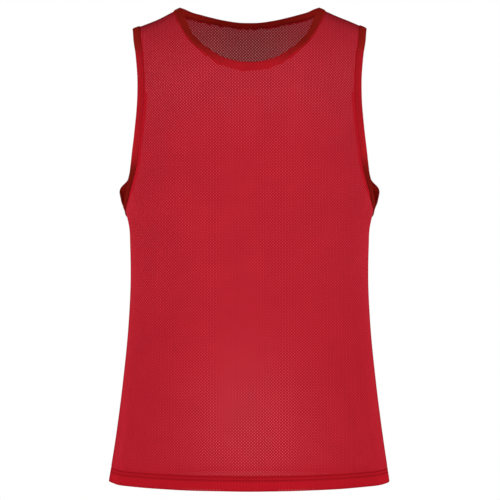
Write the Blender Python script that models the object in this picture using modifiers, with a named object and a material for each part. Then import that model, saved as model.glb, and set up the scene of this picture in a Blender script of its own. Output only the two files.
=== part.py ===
"""A mesh training bib: a sleeveless pull-on vest of open-hole knit, filled out as when it is worn.

Metres, +Z up. The front faces -Y and +X is the wearer's left. The origin is midway between the two
high shoulder points, where the neck edge crosses the shoulder seams and the wearer's shoulders carry it.

The cloth is one smooth surface with two coordinates. The angle runs round the body, from 0 at the
middle of the front, through a right angle at the side seam, to pi at the middle of the back. The reach
is the distance down the cloth from the ridge of the shoulder, where the shoulder seam lies.
"""

import math

import bmesh
import bpy
import numpy as np

# Driving dimensions
HALF_WALL = 0.0006  # half the thickness of the mesh knit
TAPE_WALL = 0.0010
SEAM_GAP = 0.0004
SEAM_SETBACK = 0.0003  # each panel's edge stands this far back from the side and shoulder seams, at y = 0
BINDING_WIDTH = 0.011
BELOW_TAPE = 0.0008  # the panel bends this far below the tape, where the tape stands up from it
HEM_DEPTH = 0.021
HEM_FOLD_RADIUS = 0.0008  # of the middle of the cloth, round the fold at the bottom edge
SHOULDER_ROLL = 0.070  # radius of the rounding over the shoulder, seen from the side
RIDGE_BLEND_FROM = 0.050  # the shoulder's slope fades out between these two drops
RIDGE_BLEND_TO = 0.240
BIB_LENGTH = 0.691  # high shoulder point to hem

# Level sections of the body, by their drop below the high shoulder point. A roundness of 2 is an
# ellipse, and a larger one is squarer.
RING_COLUMNS = ("drop", "half_width", "front_depth", "back_depth", "front_round", "back_round")
RINGS = (
    (0.000, 0.1830, 0.046, 0.046, 2.4, 2.6),
    (0.050, 0.1835, 0.064, 0.074, 2.4, 2.8),
    (0.100, 0.1845, 0.086, 0.094, 2.4, 3.0),
    (0.150, 0.1855, 0.102, 0.105, 2.4, 3.1),
    (0.210, 0.1865, 0.114, 0.110, 2.4, 3.2),
    (0.265, 0.1850, 0.118, 0.111, 2.5, 3.1),
    (0.294, 0.1805, 0.118, 0.110, 2.6, 2.9),
    (0.322, 0.1745, 0.117, 0.108, 2.7, 2.7),
    (0.350, 0.1732, 0.115, 0.106, 2.7, 2.6),
    (0.400, 0.1728, 0.113, 0.104, 2.6, 2.5),
    (0.456, 0.1755, 0.113, 0.105, 2.5, 2.4),
    (0.544, 0.1840, 0.118, 0.111, 2.4, 2.4),
    (0.617, 0.1932, 0.125, 0.119, 2.15, 2.3),
    (BIB_LENGTH, 0.2045, 0.134, 0.129, 1.95, 2.2),
)

# The shoulder's ridge, as its drop at each distance from the middle. Inside the neck it is only a guide.
RIDGE_COLUMNS = ("x", "drop")
RIDGE = (
    (0.000, -0.014),
    (0.060, -0.012),
    (0.090, -0.003),
    (0.100, 0.001),
    (0.115, 0.0085),
    (0.132, 0.0173),
    (0.150, 0.0246),
    (0.170, 0.0314),
    (0.190, 0.0360),
)

# Free edges of the openings, from the middle or the underarm to the shoulder's ridge.
EDGE_COLUMNS = ("x", "drop")
FRONT_NECK_EDGE = ((0.0, 0.0872), (0.0200, 0.0852), (0.0390, 0.0780), (0.0580, 0.0640), (0.0790, 0.0430))
BACK_NECK_EDGE = ((0.0, 0.0150), (0.0250, 0.0137), (0.0480, 0.0104), (0.0700, 0.0066), (0.0880, 0.0032))
HIGH_SHOULDER_X = 0.1000
FRONT_NECK_STAND = math.radians(38)  # how far the tape tips in towards the neck, at its steepest
BACK_NECK_STAND = math.radians(17)  # the same at the middle of the back
FRONT_ARMHOLE_EDGE = (
    (0.1804, 0.2874),
    (0.1784, 0.2740),
    (0.1700, 0.2410),
    (0.1652, 0.1980),
    (0.1605, 0.1400),
    (0.1608, 0.1080),
    (0.1645, 0.0720),
    (0.1692, 0.0440),
)
BACK_ARMHOLE_EDGE = (
    (0.1800, 0.2870),
    (0.1792, 0.2680),
    (0.1780, 0.2450),
    (0.1745, 0.2080),
    (0.1690, 0.1600),
    (0.1650, 0.1150),
    (0.1655, 0.0780),
    (0.1692, 0.0440),
)
UNDERARM_DROP = 0.2940
SHOULDER_TIP_X = 0.1712

# The largest folds, each a soft swelling (rise above zero) or hollow (below zero) of the cloth, as
# angle in degrees, drop, half the span in degrees, half the height, rise.
FOLDS = (
    (112.0, 0.269, 16.0, 0.0165, 0.0142),  # the back stands off at the underarm corner
    (62.0, 0.560, 9.0, 0.130, 0.0030),
    (38.0, 0.600, 8.0, 0.110, -0.0020),
    (118.0, 0.590, 10.0, 0.120, 0.0035),
    (146.0, 0.560, 9.0, 0.150, -0.0025),
    (152.0, 0.380, 10.0, 0.080, -0.0030),
)

# Each half panel is four grids of cells: below the arm, the chest, the shoulder and the hem's turn-up.
CELLS_BELOW_ARM = 12
CELLS_UNDER_ARM = 4
CELLS_UP_CHEST = 9
CELLS_UP_SHOULDER = 4
CELLS_ACROSS_NECK = 6
CELLS_ACROSS_SHOULDER = 4
ARM_BEND_SHARE = 0.20  # share of an armhole edge that belongs to its level bottom
TIGHTER_ENDS = 0.5  # the cells at both ends of the stretch beside the arm are shorter by this share
TIGHTER_TOP = 1.25  # power that shortens the neck's cells towards the ridge
FOLD_CELLS = 2  # from a leaf of the tape to the middle of its fold, and half the turn-up's fold
CURVE_SAMPLES = 240
LEVEL_STEPS = 12  # rounds that find the level section of a real drop
WALK_STEPS = 6
SLOPE_STEP = 1e-5
RIGHT_ANGLE = math.pi / 2
WELD = 1e-5
TAPE_OFFSET = HALF_WALL + SEAM_GAP + TAPE_WALL / 2  # from the middle of the cloth to the middle of the tape
OVER_RIDGE = (np.zeros(2), np.array([1.0, -1.0]))  # past the shoulder, a curve goes on as in a mirror
COLLECTION = "mesh_training_bib"

MESH_RED = (0.46, 0.018, 0.030, 1.0)
MESH_ROUGHNESS = 0.75
TAPE_RED = (0.38, 0.012, 0.017, 1.0)
TAPE_ROUGHNESS = 0.6


def column(table, names, name):
    """One named column of a table, as an array."""
    return np.array([row[names.index(name)] for row in table])


def smooth(knots, values, at):
    """A smooth curve through a table's rows: a cubic between each two, with the slopes shared."""
    slopes = np.gradient(values, knots, axis=0)
    low = np.clip(np.searchsorted(knots, at) - 1, 0, len(knots) - 2)
    span = knots[low + 1] - knots[low]
    t = np.clip((at - knots[low]) / span, 0.0, 1.0)
    if values.ndim > 1:
        t, span = t[:, None], span[:, None]
    start = (1 + 2 * t) * (1 - t) ** 2 * values[low] + t * (1 - t) ** 2 * span * slopes[low]
    end = t * t * (3 - 2 * t) * values[low + 1] + t * t * (t - 1) * span * slopes[low + 1]
    return start + end


def ring(drop, name):
    return smooth(column(RINGS, RING_COLUMNS, "drop"), column(RINGS, RING_COLUMNS, name), drop)


def ridge_drop(x):
    return smooth(column(RIDGE, RIDGE_COLUMNS, "x"), column(RIDGE, RIDGE_COLUMNS, "drop"), np.abs(x))


def reach_of(drop):
    """The reach of a level place below the shoulder's rounding."""
    return drop + SHOULDER_ROLL * (RIGHT_ANGLE - 1)


def ridge_share(drop):
    """How much of the shoulder's slope a level section still follows: all above, none below."""
    t = np.clip((RIDGE_BLEND_TO - drop) / (RIDGE_BLEND_TO - RIDGE_BLEND_FROM), 0.0, 1.0)
    return t * t * (3 - 2 * t)


def section_shape(angle, drop):
    """Depth and roundness of the level section at each angle: the front's or the back's."""
    front = angle <= RIGHT_ANGLE
    depth = np.where(front, ring(drop, "front_depth"), ring(drop, "back_depth"))
    roundness = np.where(front, ring(drop, "front_round"), ring(drop, "back_round"))
    return depth, roundness


def cloth(angle, reach):
    """Points of the cloth's middle surface.

    The drop follows a circle over the shoulder and then runs straight down. The section at that drop is
    a superellipse |x/a|^n + |y/b|^n = 1 in its polar form, and its depth shrinks to nothing at the ridge.
    """
    turn = np.minimum(reach / SHOULDER_ROLL, RIGHT_ANGLE)
    drop = SHOULDER_ROLL * (1 - np.cos(turn)) + reach - SHOULDER_ROLL * turn
    depth, roundness = section_shape(angle, drop)
    side, ahead = np.sin(angle), np.cos(angle)
    radius = (np.abs(side) ** roundness + np.abs(ahead) ** roundness) ** (-1 / roundness)
    x = ring(drop, "half_width") * radius * side
    y = -depth * radius * ahead * np.sin(turn)
    z = -drop - ridge_share(drop) * ridge_drop(x)
    for fold_angle, fold_drop, half_angle, half_height, rise in FOLDS:
        across = (angle - math.radians(fold_angle)) / math.radians(half_angle)
        swell = rise * np.exp(-across**2 - ((drop - fold_drop) / half_height) ** 2)
        x = x + swell * radius * side
        y = y - swell * radius * ahead
    return np.stack([x, y, z], axis=-1)


def on_cloth(x, drop, back):
    """The angle and reach of the place with this x and this real drop, on the front or the back."""
    level = drop - ridge_drop(x)
    for _ in range(LEVEL_STEPS):
        level = drop - ridge_share(level) * ridge_drop(x)
    level = np.maximum(level, 0.0)
    share = np.clip(x / ring(level, "half_width"), 0.0, 1.0)
    roundness = ring(level, "back_round" if back else "front_round")
    angle = np.arctan2(share, (1 - share**roundness) ** (1 / roundness))
    curl = np.arccos(np.clip(1 - level / SHOULDER_ROLL, 0.0, 1.0))
    reach = SHOULDER_ROLL * curl + np.maximum(level - SHOULDER_ROLL, 0.0)
    return np.stack([math.pi - angle if back else angle, reach], axis=-1)


def route(stops, start, end, first, last):
    """Closely spaced places on a smooth curve through the stops, from stop first to stop last.

    start and end say how the curve goes on beyond its ends, as in a mirror: (offset, signs).
    """
    before = start[0] + start[1] * stops[1]
    after = end[0] + end[1] * stops[-2]
    stops = np.vstack([before, stops, after])
    gaps = np.linalg.norm(np.diff(cloth(stops[:, 0], stops[:, 1]), axis=0), axis=1)
    knots = np.concatenate([[0.0], np.cumsum(gaps)])
    return smooth(knots, stops, np.linspace(knots[first + 1], knots[last + 1], CURVE_SAMPLES))


def stations(curve, shares):
    """The places at these shares of a curve's length, measured on the cloth."""
    steps = np.linalg.norm(np.diff(cloth(curve[:, 0], curve[:, 1]), axis=0), axis=1)
    length = np.concatenate([[0.0], np.cumsum(steps)])
    wanted = np.asarray(shares) * length[-1]
    return np.stack([np.interp(wanted, length, curve[:, i]) for i in (0, 1)], axis=-1)


def slopes_at(place):
    """How a point moves with the angle and with the reach."""
    angle, reach = place[:, 0], place[:, 1]
    round_body = cloth(angle + SLOPE_STEP, reach) - cloth(angle - SLOPE_STEP, reach)
    down = cloth(angle, reach + SLOPE_STEP) - cloth(angle, reach - SLOPE_STEP)
    return round_body / (2 * SLOPE_STEP), down / (2 * SLOPE_STEP)


def outward(place):
    """Unit normals of the cloth, pointing out of the body."""
    round_body, down = slopes_at(place)
    normal = np.cross(round_body, -down)
    return normal / np.linalg.norm(normal, axis=-1, keepdims=True)


def inward_from(edge):
    """Unit directions in the cloth, at right angles to an edge, from the opening into the panel.

    An edge crosses the middle, the side seam and the ridge squarely, so its ends run along one axis.
    """
    points = cloth(edge[:, 0], edge[:, 1])
    along = np.gradient(points, axis=0)
    for end in (0, -1):
        along[end] = np.where(np.abs(along[end]) < np.abs(along[end]).max(), 0.0, along[end])
    across = np.cross(along, outward(edge))
    return across / np.linalg.norm(across, axis=-1, keepdims=True)


def walk(edge, direction, distance):
    """Places at a distance from an edge, measured on the cloth."""
    place = edge.copy()
    for _ in range(WALK_STEPS):
        round_body, down = slopes_at(place)
        a = np.sum(round_body * round_body, axis=1)
        b = np.sum(round_body * down, axis=1)
        c = np.sum(down * down, axis=1)
        p = np.sum(direction * round_body, axis=1)
        q = np.sum(direction * down, axis=1)
        move = np.stack([p * c - q * b, q * a - p * b], axis=-1) / (a * c - b * b)[:, None]
        size = np.linalg.norm(move[:, :1] * round_body + move[:, 1:] * down, axis=1)
        place = place + move * (distance / WALK_STEPS / size)[:, None]
    return place


def edge_stops(table, back):
    return on_cloth(column(table, EDGE_COLUMNS, "x"), column(table, EDGE_COLUMNS, "drop"), back)


def ridge_stop(x, back):
    return on_cloth(np.array([x]), ridge_drop(np.array([x])), back)


def neck_edge(back):
    """Stations on the free edge of the neck, from the middle of the panel to the shoulder's ridge."""
    stops = edge_stops(BACK_NECK_EDGE if back else FRONT_NECK_EDGE, back)
    stops = np.vstack([stops, ridge_stop(HIGH_SHOULDER_X, back)])
    middle = (np.array([2 * math.pi if back else 0.0, 0.0]), np.array([-1.0, 1.0]))
    curve = route(stops, middle, OVER_RIDGE, 0, len(stops) - 1)
    return stations(curve, 1 - evenly(CELLS_ACROSS_NECK + CELLS_UP_SHOULDER)[::-1] ** TIGHTER_TOP)


def armhole_edge(back):
    """Stations on the free edge of an armhole, from the underarm to the shoulder's ridge."""
    front = np.vstack([edge_stops(FRONT_ARMHOLE_EDGE, False), ridge_stop(SHOULDER_TIP_X, False)])
    rear = np.vstack([edge_stops(BACK_ARMHOLE_EDGE, True), ridge_stop(SHOULDER_TIP_X, True)])
    underarm = np.array([[RIGHT_ANGLE, reach_of(UNDERARM_DROP)]])
    stops = np.vstack([front[::-1], underarm, rear])
    low, top = len(front), (len(stops) - 1 if back else 0)
    curve = route(stops, OVER_RIDGE, OVER_RIDGE, min(low, top), max(low, top))
    curve = curve if back else curve[::-1]
    under = ARM_BEND_SHARE * evenly(CELLS_UNDER_ARM)
    beside = ARM_BEND_SHARE + (1 - ARM_BEND_SHARE) * shares_beside_arm()
    return stations(curve, np.concatenate([under[:-1], beside]))


def evenly(cells):
    return np.linspace(0.0, 1.0, cells + 1)


def shares_beside_arm():
    even = evenly(CELLS_UP_CHEST + CELLS_UP_SHOULDER)
    return even - TIGHTER_ENDS * np.sin(2 * math.pi * even) / (2 * math.pi)


def off_seams(places, back):
    """The same places, but those on a shoulder seam or side seam stand back from it."""
    places = places.copy()
    round_body, down = slopes_at(places)
    on_ridge = places[:, 1] < SEAM_SETBACK
    at_side = np.abs(places[:, 0] - RIGHT_ANGLE) < WELD
    places[on_ridge, 1] = SEAM_SETBACK / np.abs(down[on_ridge, 1])
    places[at_side, 0] += (1 if back else -1) * SEAM_SETBACK / np.abs(round_body[at_side, 1])
    return places


def opening(back, neck):
    """The bound half edge of the neck or of an armhole, as stations from its first end to the ridge.

    Gives the places of the seam line, where the covered edge of the panel begins, and three vectors for
    each station: the tape's own direction, its normal, and the step to the middle of the tape's fold.
    """
    edge = neck_edge(back) if neck else armhole_edge(back)
    turned = -1 if back == neck else 1
    seam = walk(edge, inward_from(edge) * turned, BINDING_WIDTH + BELOW_TAPE)
    seam[0, 0] = edge[0, 0]
    seam[-1, 1] = 0.0
    edge, seam = off_seams(edge, back), off_seams(seam, back)

    normal = outward(seam)
    away = cloth(edge[:, 0], edge[:, 1]) - cloth(seam[:, 0], seam[:, 1])
    away = away - np.sum(away * normal, axis=1, keepdims=True) * normal
    away = away / np.linalg.norm(away, axis=1, keepdims=True)
    share = evenly(len(edge) - 1)[:, None]
    front_stand = FRONT_NECK_STAND * np.sin(math.pi * share) ** 2
    back_stand = BACK_NECK_STAND * np.cos(RIGHT_ANGLE * share) ** 2
    stand = (back_stand if back else front_stand) * (1.0 if neck else 0.0)
    tipped = np.cos(stand) * away - np.sin(stand) * normal
    face = np.cos(stand) * normal + np.sin(stand) * away
    return seam, tipped, face, tipped * (BELOW_TAPE + BINDING_WIDTH - TAPE_OFFSET - TAPE_WALL / 2)


def patch(bottom, top, left, right):
    """A grid of places between four lines of places: each side's line, blended across (Coons)."""
    u = np.linspace(0.0, 1.0, len(bottom))[None, :, None]
    v = np.linspace(0.0, 1.0, len(left))[:, None, None]
    level = (1 - v) * bottom[None] + v * top[None]
    upright = (1 - u) * left[:, None] + u * right[:, None]
    corners = (1 - v) * ((1 - u) * bottom[0] + u * bottom[-1]) + v * ((1 - u) * top[0] + u * top[-1])
    return level + upright - corners


def line(start, end, shares):
    """Places in a straight line, at these shares of the way."""
    shares = np.asarray(shares)[:, None]
    return np.asarray(start) * (1 - shares) + np.asarray(end) * shares


def half_panel(back):
    """The grids of points of the half panel at +X: its body, the edges under the tapes, and the turn-up."""
    middle = math.pi if back else 0.0
    neck_seam, _, _, neck_step = opening(back, True)
    arm_seam, _, _, arm_step = opening(back, False)
    hem = reach_of(BIB_LENGTH - HALF_WALL) - HEM_FOLD_RADIUS
    bend = arm_seam[CELLS_UNDER_ARM]
    arm_side, arm_top = arm_seam[CELLS_UNDER_ARM:-CELLS_UP_SHOULDER], arm_seam[-1 - CELLS_UP_SHOULDER :]
    neck_side = neck_seam[CELLS_ACROSS_NECK:]

    chest_line = line((middle, bend[1]), bend, evenly(CELLS_ACROSS_NECK + CELLS_ACROSS_SHOULDER))
    hem_shares = evenly(CELLS_ACROSS_NECK + CELLS_ACROSS_SHOULDER + CELLS_UNDER_ARM)
    hem_line = off_seams(line((middle, hem), (RIGHT_ANGLE, hem), hem_shares), back)
    hem_share = HEM_DEPTH / (hem - bend[1])
    upward = np.concatenate([[0.0], hem_share + (1 - hem_share) * evenly(CELLS_BELOW_ARM)])
    under_arm = np.vstack([chest_line, arm_seam[:CELLS_UNDER_ARM][::-1]])
    left, right = line(hem_line[0], chest_line[0], upward), line(hem_line[-1], arm_seam[0], upward)
    below = patch(hem_line, under_arm, left, right)

    shoulder_foot = line(neck_side[0], arm_top[0], evenly(CELLS_ACROSS_SHOULDER))
    up_chest = shares_beside_arm()[: len(arm_side)]
    left = line(chest_line[0], neck_seam[0], up_chest / up_chest[-1])
    chest = patch(chest_line, np.vstack([neck_seam[:CELLS_ACROSS_NECK], shoulder_foot]), left, arm_side)
    ridge = line(neck_seam[-1], arm_seam[-1], evenly(CELLS_ACROSS_SHOULDER))
    shoulder = patch(shoulder_foot, ridge, neck_side, arm_top)

    places = (below, chest, shoulder, neck_seam, arm_seam)
    below, chest, shoulder, neck_line, arm_line = (cloth(place[..., 0], place[..., 1]) for place in places)
    neck_strip = np.stack([neck_line, neck_line + neck_step])
    arm_strip = np.stack([arm_line, arm_line + arm_step])
    turn_up = hem_turn_up(below[0], below[1], outward(hem_line))
    return [below, chest, shoulder, neck_strip, arm_strip, turn_up]


def hem_turn_up(edge, top, normal):
    """The grid of the turned-up cloth: round the fold at the bottom edge and up inside the panel."""
    down = edge - top
    down = down / np.linalg.norm(down, axis=-1, keepdims=True)
    turns = np.linspace(0.0, math.pi, 2 * FOLD_CELLS + 1)[:, None, None]
    fold = edge + HEM_FOLD_RADIUS * ((np.cos(turns) - 1) * normal + np.sin(turns) * down)
    return np.vstack([fold, (top - 2 * HEM_FOLD_RADIUS * normal)[None]])


def leaf(back, neck, side):
    """Half the width of a tape's middle surface: from the seam line to the middle of its fold.

    It lies over the panel's face where side is 1, and behind the panel where it is -1.
    """
    seam, away, face, step = opening(back, neck)
    at_seam = cloth(seam[:, 0], seam[:, 1])
    rows = [at_seam + BELOW_TAPE * away + side * TAPE_OFFSET * face]
    for turn in np.linspace(RIGHT_ANGLE, 0.0, FOLD_CELLS + 1):
        rows.append(at_seam + step + TAPE_OFFSET * (side * math.sin(turn) * face + math.cos(turn) * away))
    return np.stack(rows)


def binding(neck):
    """The grids of a tape's leaves along the front and the back, joined across the seams of the panels."""
    grids = []
    for side in (1, -1):
        front, rear = leaf(False, neck, side), leaf(True, neck, side)
        grids += [front, rear, np.stack([front[:, -1], rear[:, -1]], axis=1)]
        if not neck:
            grids.append(np.stack([front[:, 0], rear[:, 0]], axis=1))
    return grids


def mesh_of(name, grids):
    """One mesh from grids of points that share their border points.

    Each cell is cut in two along the same diagonal, so that the facets of the tape follow the panel's.
    """
    sheet = bmesh.new()
    for grid in grids:
        rows = [[sheet.verts.new(point) for point in row] for row in grid.tolist()]
        for low, high in zip(rows[:-1], rows[1:]):
            for a, b, c, d in zip(low[:-1], low[1:], high[1:], high[:-1]):
                sheet.faces.new((a, b, c))
                sheet.faces.new((a, c, d))
    bmesh.ops.remove_doubles(sheet, verts=sheet.verts, dist=WELD)
    bmesh.ops.recalc_face_normals(sheet, faces=sheet.faces)
    mesh = bpy.data.meshes.new(name)
    sheet.to_mesh(mesh)
    sheet.free()
    mesh.shade_smooth()
    return mesh


def cloth_piece(name, grids, wall, material, mirrored=True):
    """A named piece of cloth: its half sheet mirrored where asked, and given its thickness."""
    piece = bpy.data.objects.new(name, mesh_of(name, grids))
    piece.data.materials.append(material)
    bpy.data.collections[COLLECTION].objects.link(piece)
    if mirrored:
        mirror = piece.modifiers.new("other_half", "MIRROR")
        mirror.merge_threshold = WELD
    thickness = piece.modifiers.new("wall", "SOLIDIFY")
    thickness.thickness = wall
    thickness.offset = 0.0
    thickness.use_even_offset = True
    return piece


def knit_material(name, colour, roughness):
    material = bpy.data.materials.new(name)
    material.use_nodes = True
    shader = material.node_tree.nodes["Principled BSDF"]
    shader.inputs["Base Color"].default_value = colour
    shader.inputs["Roughness"].default_value = roughness
    shader.inputs["Metallic"].default_value = 0.0
    return material


def build():
    for leftover in list(bpy.data.objects):
        bpy.data.objects.remove(leftover)
    bpy.context.scene.collection.children.link(bpy.data.collections.new(COLLECTION))
    for name, back in (("front_panel", False), ("back_panel", True)):
        knit = knit_material(name + "_mesh", MESH_RED, MESH_ROUGHNESS)
        cloth_piece(name, half_panel(back), 2 * HALF_WALL, knit)

    tape = knit_material("neck_tape", TAPE_RED, TAPE_ROUGHNESS)
    cloth_piece("neck_binding", binding(True), TAPE_WALL, tape)
    for side, sign in (("left", 1.0), ("right", -1.0)):
        tape = knit_material("armhole_tape_" + side, TAPE_RED, TAPE_ROUGHNESS)
        grids = [grid * np.array([sign, 1.0, 1.0]) for grid in binding(False)]
        cloth_piece("armhole_binding_" + side, grids, TAPE_WALL, tape, mirrored=False)


build()
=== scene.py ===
# A mesh training bib: a sleeveless pull-on vest of open-hole knit with a taped neck and armholes and a
# coverstitched hem, filled out as when it is worn. Metres, +Z up. The front faces -Y and +X is the
# wearer's left. The origin is midway between the two high shoulder points. Long tables are in millimetres.
import math
from functools import partial

import bmesh
import bpy
import numpy as np
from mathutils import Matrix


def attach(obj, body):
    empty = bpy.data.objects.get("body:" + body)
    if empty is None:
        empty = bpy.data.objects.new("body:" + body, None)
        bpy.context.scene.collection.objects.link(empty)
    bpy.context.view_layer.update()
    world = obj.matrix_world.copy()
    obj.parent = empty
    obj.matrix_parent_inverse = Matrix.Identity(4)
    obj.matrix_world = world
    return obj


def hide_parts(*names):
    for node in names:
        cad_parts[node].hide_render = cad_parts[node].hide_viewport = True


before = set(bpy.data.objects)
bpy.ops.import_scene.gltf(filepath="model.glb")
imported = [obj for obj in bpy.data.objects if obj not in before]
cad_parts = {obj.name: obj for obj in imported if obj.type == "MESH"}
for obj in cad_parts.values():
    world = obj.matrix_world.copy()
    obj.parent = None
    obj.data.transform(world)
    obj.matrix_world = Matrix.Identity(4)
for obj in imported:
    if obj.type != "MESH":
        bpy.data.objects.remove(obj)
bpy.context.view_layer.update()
rightAngle = math.pi / 2
scene = bpy.context.scene

# The form of the filled-out cloth, which every piece shares.
bibForm = {
    "length": 0.691,  # high shoulder point to hem
    "shoulderRoll": 0.070,  # radius over the shoulder, seen from the side
    "ridgeBlend": (0.050, 0.240),  # the shoulder's slope fades out between these two drops
    "underarmDrop": 0.2940,
    "highShoulderX": 0.1000,
    "shoulderTipX": 0.1712,
    "leftLift": 0.0026,  # the wearer's left shoulder rides a little higher:
    "leftLiftX": (0.142, 0.026),  # a bell at this distance from the middle, this wide,
    "leftLiftEnd": (0.160, 0.170),  # which ends before the tip
    "leftLiftFade": 0.09,  # and fades out down to this drop
    "creaseStart": (0.02, 0.08),  # small creases set in between these drops
}
accuracy = {
    "slopeStep": 1e-5,
    "levelRounds": 12,  # of finding a place's level from its drop
    "walkSteps": 6,
    "curvePlaces": 400,
    "hemPlaces": 600,
    "widthCells": 39,  # of a level line, to measure its length
    "mergeDistance": 2e-5,
    "onLine": 1e-6,  # nearer than this counts as on a seam
}

# level sections by their drop; a roundness of 2 is an ellipse, and more is squarer
ringColumns = ("drop", "halfWidth", "frontDepth", "backDepth", "frontRound", "backRound")
rings = [
    (0, 183, 46, 46, 2.4, 2.6), (50, 183.5, 64, 74, 2.4, 2.8),
    (100, 184.5, 86, 94, 2.4, 3), (150, 185.5, 102, 105, 2.4, 3.1),
    (210, 186.5, 114, 110, 2.4, 3.2), (265, 185, 118, 111, 2.5, 3.1),
    (294, 180.5, 118, 110, 2.6, 2.9), (322, 174.5, 117, 108, 2.7, 2.7),
    (350, 173.2, 115, 106, 2.7, 2.6), (400, 172.8, 113, 104, 2.6, 2.5),
    (456, 175.5, 113, 105, 2.5, 2.4), (544, 184, 118, 111, 2.4, 2.4),
    (617, 193.2, 125, 119, 2.15, 2.3), (691, 204.5, 134, 129, 1.95, 2.2),
]
rings = np.array(rings) / (1000, 1000, 1000, 1000, 1, 1)

# The shoulder's ridge: distance from the middle, drop
ridge = [
    (0, -14), (60, -12), (90, -3), (100, 1), (115, 8.5),
    (132, 17.3), (150, 24.6), (170, 31.4), (190, 36),
]
ridge = np.array(ridge) / 1000

# Free edges of the openings: distance from the middle, drop, upwards from the middle or the underarm
openingEdges = {
    "frontNeck": ((0, 87.2), (20, 85.2), (39, 78), (58, 64), (79, 43)),
    "backNeck": ((0, 15), (25, 13.7), (48, 10.4), (70, 6.6), (88, 3.2)),
    "frontArmhole": (
        (180.4, 287.4), (178.4, 274), (170, 241), (165.2, 198), (160.5, 140),
        (160.8, 108), (164.5, 72), (169.2, 44),
    ),
    "backArmhole": (
        (180, 287), (179.2, 268), (178, 245), (174.5, 208), (169, 160),
        (165, 115), (165.5, 78), (169.2, 44),
    ),
}

# Folds and creases, swellings or hollows: angle, drop, lean, half angle, half height, rise. The angle is
# 0 in front, 90 at the wearer's left and below zero on the right. The lean is its change a metre down.
largeFolds = [  # the same on both sides
    (112, 264, 0, 16, 10.5, 9.5),  # the back stands off at the underarm,
    (110, 278, 0, 16, 17, 9),  # sharply at the top and fading out below
    (62, 560, 0, 9, 130, 3),
    (38, 600, 0, 8, 110, -2),
    (118, 590, 0, 10, 120, 3.5),
    (146, 560, 0, 9, 150, -2.5),
    (152, 380, 0, 10, 80, -3),
]
smallCreases = [
    (38, 375, 25, 4.5, 55, -1.6), (-39.5, 385, -18, 5, 62, -1.5),
    (24, 400, 12, 5.5, 40, 1), (-22.5, 408, -15, 6, 46, 1.1),
    (47, 560, 78, 4, 120, -2.2), (-48.5, 572, -74, 4.4, 105, -2),
    (57, 575, 70, 3.6, 90, 1.4), (-59, 560, -66, 4, 110, 1.3),
    (3, 372, 10, 14, 28, -0.9), (-16, 620, -20, 6, 70, 0.9),
    (14, 640, 24, 7, 60, 1), (69, 330, -150, 4.5, 35, 1.6),
    (-67, 338, 160, 4, 40, 1.5), (62, 298, -210, 3.6, 30, -1.2),
    (-61, 302, 190, 3.8, 32, -1.3), (44, 150, 60, 6, 45, -1),
    (-42, 158, -70, 6.5, 50, -1.1), (82, 500, 10, 4, 90, -1.7),
    (-80, 520, -12, 3.6, 80, -1.8), (130, 420, -30, 5, 70, 2.5),
    (-133, 405, 34, 5.4, 78, 2.4), (141, 350, -55, 4.5, 60, -2.2),
    (-139, 362, 48, 4.2, 54, -2.5), (166, 470, -15, 5, 110, 2),
    (-169, 455, 12, 5.6, 100, 1.7), (178, 560, 8, 6, 90, -1.7),
    (132, 610, -40, 4, 80, -2.5), (-131, 600, 45, 4.4, 86, -2.2),
    (106, 345, 110, 4, 40, 2.2), (-107, 338, -100, 4.2, 42, 2.4),
    (148, 140, -50, 7, 50, -1.7), (-150, 132, 45, 6.5, 56, -1.4),
    (160, 235, 20, 8, 60, 1.5), (-158, 228, -25, 7.5, 52, 1.7),
]
foldScale = (1, 1000, 1, 1, 1000, 1000)
largeFolds, smallCreases = np.array(largeFolds) / foldScale, np.array(smallCreases) / foldScale
hemWave = {"waves": (11, 17), "rise": (0.0007, 0.0004), "start": (1.0, 2.2), "fadeHeight": 0.045}
hemStitching = {
    "rows": (0.0150, 0.0199),  # heights of the two needle rows above the fold
    "groove": 0.0005,  # how deep they pull the cloth in
    "grooveWidth": 0.0012,
    "pitch": 0.0032,
    "ends": (1 / 2, 1 / 3),  # of a pitch, free at the middle and at the side
    "stitchLength": 0.0026,
    "threadRadius": 0.00026,
    "clear": 0.00005,  # of the cloth's outer face
}


# A smooth curve through rows of values: cubics that share their slopes (Hermite).
def smoothCurve(knots, values, at):
    slopes = np.gradient(values, knots, axis=0)
    low = np.clip(np.searchsorted(knots, at) - 1, 0, len(knots) - 2)
    span = knots[low + 1] - knots[low]
    t = np.clip((at - knots[low]) / span, 0.0, 1.0)
    if values.ndim > 1:
        t, span = t[:, None], span[:, None]
    start = (1 + 2 * t) * (1 - t) ** 2 * values[low] + t * (1 - t) ** 2 * span * slopes[low]
    end = t * t * (3 - 2 * t) * values[low + 1] + t * t * (t - 1) * span * slopes[low + 1]
    return start + end


# One size of the level sections: a smooth curve through its column.
def ringSize(drop, name):
    return smoothCurve(rings[:, 0], rings[:, ringColumns.index(name)], drop)


# The drop of the shoulder's ridge at a distance from the middle: a smooth curve.
def ridgeDrop(x):
    return smoothCurve(ridge[:, 0], ridge[:, 1], np.abs(x))


# A soft step from 0 to 1 between two values: 3t^2 - 2t^3.
def softStep(low, high, at):
    t = np.clip((at - low) / (high - low), 0.0, 1.0)
    return t * t * (3 - 2 * t)


# How much of the ridge's slope a level section follows: all above, none below.
def ridgeShare(drop):
    return 1 - softStep(*bibForm["ridgeBlend"], drop)


# The reach of a level below the shoulder: the drop and what its arc adds.
def reachOf(drop):
    return drop + bibForm["shoulderRoll"] * (rightAngle - 1)


hemReach = reachOf(bibForm["length"])


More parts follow.
